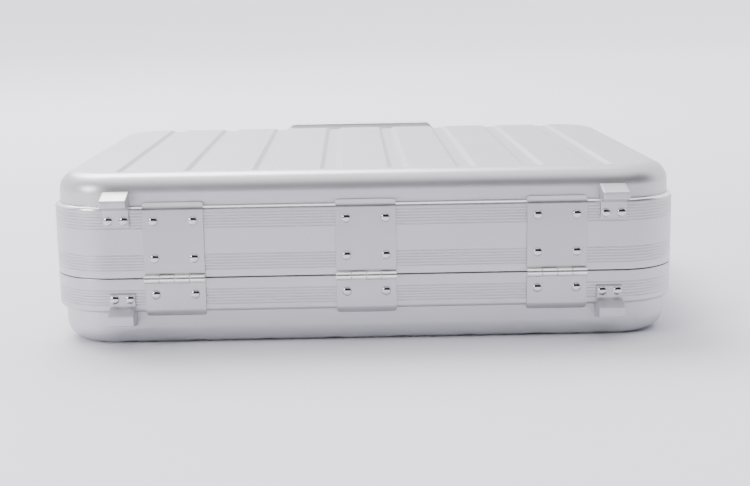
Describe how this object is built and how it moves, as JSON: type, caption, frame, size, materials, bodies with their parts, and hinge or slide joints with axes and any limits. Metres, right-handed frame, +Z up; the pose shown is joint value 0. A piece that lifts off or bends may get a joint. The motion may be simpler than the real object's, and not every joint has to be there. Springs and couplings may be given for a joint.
{
  "type": "poker chip case",
  "caption": "Hard aluminium carry case for poker chips: hinged pressed shells in ribbed frames, with draw latches, folding handle, lid stays, chip tray and foam pad.",
  "frame": {"origin": "centre of the two frames' plan outline, on the surface that the closed case lies on", "axes": "+Z up, through the lid; +X along the case's width, to the right seen from the front; the hinges and standing feet face +Y, the handle and latches face -Y"},
  "size_m": [0.456, 0.375, 0.127],
  "materials": {
    "pressed_shell": "satin",
    "extruded_frame": "satin",
    "hinge_plate": "satin",
    "foot_casting": "satin",
    "polished_rivet": "polished",
    "handle_alloy": "satin",
    "handle_pad": "matte",
    "nickel_latch": "satin",
    "zinc_stay": "satin",
    "flocked_tray": "matte",
    "lid_foam": "matte",
    "lid_board": "matte"
  },
  "bodies": {
    "lower_half": {"lower_shell": "pressed_shell", "lower_frame": "extruded_frame", "hinge_lower_leaf_left": "hinge_plate", "hinge_lower_leaf_middle": "hinge_plate", "hinge_lower_leaf_right": "hinge_plate", "hinge_pin_left": "polished_rivet", "hinge_pin_middle": "polished_rivet", "hinge_pin_right": "polished_rivet", "lower_foot_left": "foot_casting", "lower_foot_right": "foot_casting", "lower_hinge_rivets": "polished_rivet", "lower_foot_rivets_left": "polished_rivet", "lower_foot_rivets_right": "polished_rivet", "chip_tray_left": "flocked_tray", "chip_tray_middle": "flocked_tray", "chip_tray_right": "flocked_tray", "latch_keeper_left": "nickel_latch", "latch_keeper_right": "nickel_latch", "keeper_rivets_left": "polished_rivet", "keeper_rivets_right": "polished_rivet", "stay_base_bracket_left": "zinc_stay", "stay_base_bracket_right": "zinc_stay"},
    "lid": {"upper_shell": "pressed_shell", "upper_frame": "extruded_frame", "hinge_upper_leaf_left": "hinge_plate", "hinge_upper_leaf_middle": "hinge_plate", "hinge_upper_leaf_right": "hinge_plate", "upper_foot_left": "foot_casting", "upper_foot_right": "foot_casting", "upper_hinge_rivets": "polished_rivet", "upper_foot_rivets_left": "polished_rivet", "upper_foot_rivets_right": "polished_rivet", "lid_foam": "lid_foam", "lid_board": "lid_board", "latch_base_left": "nickel_latch", "latch_base_right": "nickel_latch", "latch_rivets_left": "polished_rivet", "latch_rivets_right": "polished_rivet", "handle_bracket_left": "nickel_latch", "handle_bracket_right": "nickel_latch", "handle_pin_left": "polished_rivet", "handle_pin_right": "polished_rivet", "handle_rivets": "polished_rivet", "stay_lid_bracket_left": "zinc_stay", "stay_lid_bracket_right": "zinc_stay"},
    "handle": {"handle_bow": "handle_alloy", "handle_pad": "handle_pad"},
    "latch_lever_left": {"latch_lever_left": "nickel_latch", "latch_claw_pin_left": "polished_rivet"},
    "latch_claw_left": {"latch_claw_left": "nickel_latch"},
    "stay_arm_left": {"stay_arm_left": "zinc_stay"},
    "latch_lever_right": {"latch_lever_right": "nickel_latch", "latch_claw_pin_right": "polished_rivet"},
    "latch_claw_right": {"latch_claw_right": "nickel_latch"},
    "stay_arm_right": {"stay_arm_right": "zinc_stay"}
  },
  "joints": [
    {"name": "lid_hinge", "type": "hinge", "parent": "lower_half", "child": "lid", "pos_m": [0, 0.176, 0.0506], "axis": [-1, 0, 0], "range_deg": [0, 95]},
    {"name": "handle_swing", "type": "hinge", "parent": "lid", "child": "handle", "pos_m": [0, -0.1825, 0.07], "axis": [1, 0, 0], "range_deg": [0, 175]},
    {"name": "latch_lever_swing_left", "type": "hinge", "parent": "lid", "child": "latch_lever_left", "pos_m": [-0.14, -0.181, 0.061], "axis": [1, 0, 0], "range_deg": [0, 115]},
    {"name": "latch_claw_swing_left", "type": "hinge", "parent": "latch_lever_left", "child": "latch_claw_left", "pos_m": [-0.14, -0.1798, 0.0675], "axis": [1, 0, 0], "range_deg": [-115, 0]},
    {"name": "stay_arm_swing_left", "type": "hinge", "parent": "lower_half", "child": "stay_arm_left", "pos_m": [-0.2126, 0.127, 0.0296], "axis": [-1, 0, 0], "range_deg": [0, 86.13]},
    {"name": "latch_lever_swing_right", "type": "hinge", "parent": "lid", "child": "latch_lever_right", "pos_m": [0.14, -0.181, 0.061], "axis": [1, 0, 0], "range_deg": [0, 115]},
    {"name": "latch_claw_swing_right", "type": "hinge", "parent": "latch_lever_right", "child": "latch_claw_right", "pos_m": [0.14, -0.1798, 0.0675], "axis": [1, 0, 0], "range_deg": [-115, 0]},
    {"name": "stay_arm_swing_right", "type": "hinge", "parent": "lower_half", "child": "stay_arm_right", "pos_m": [0.2126, 0.127, 0.0296], "axis": [-1, 0, 0], "range_deg": [0, 86.13]}
  ],
  "couplings": [
    {"joint": "latch_claw_swing_left", "follows": "latch_lever_swing_left", "ratio": -1},
    {"joint": "stay_arm_swing_left", "follows": "lid_hinge", "ratio": 0.90656},
    {"joint": "latch_claw_swing_right", "follows": "latch_lever_swing_right", "ratio": -1},
    {"joint": "stay_arm_swing_right", "follows": "lid_hinge", "ratio": 0.90656}
  ]
}
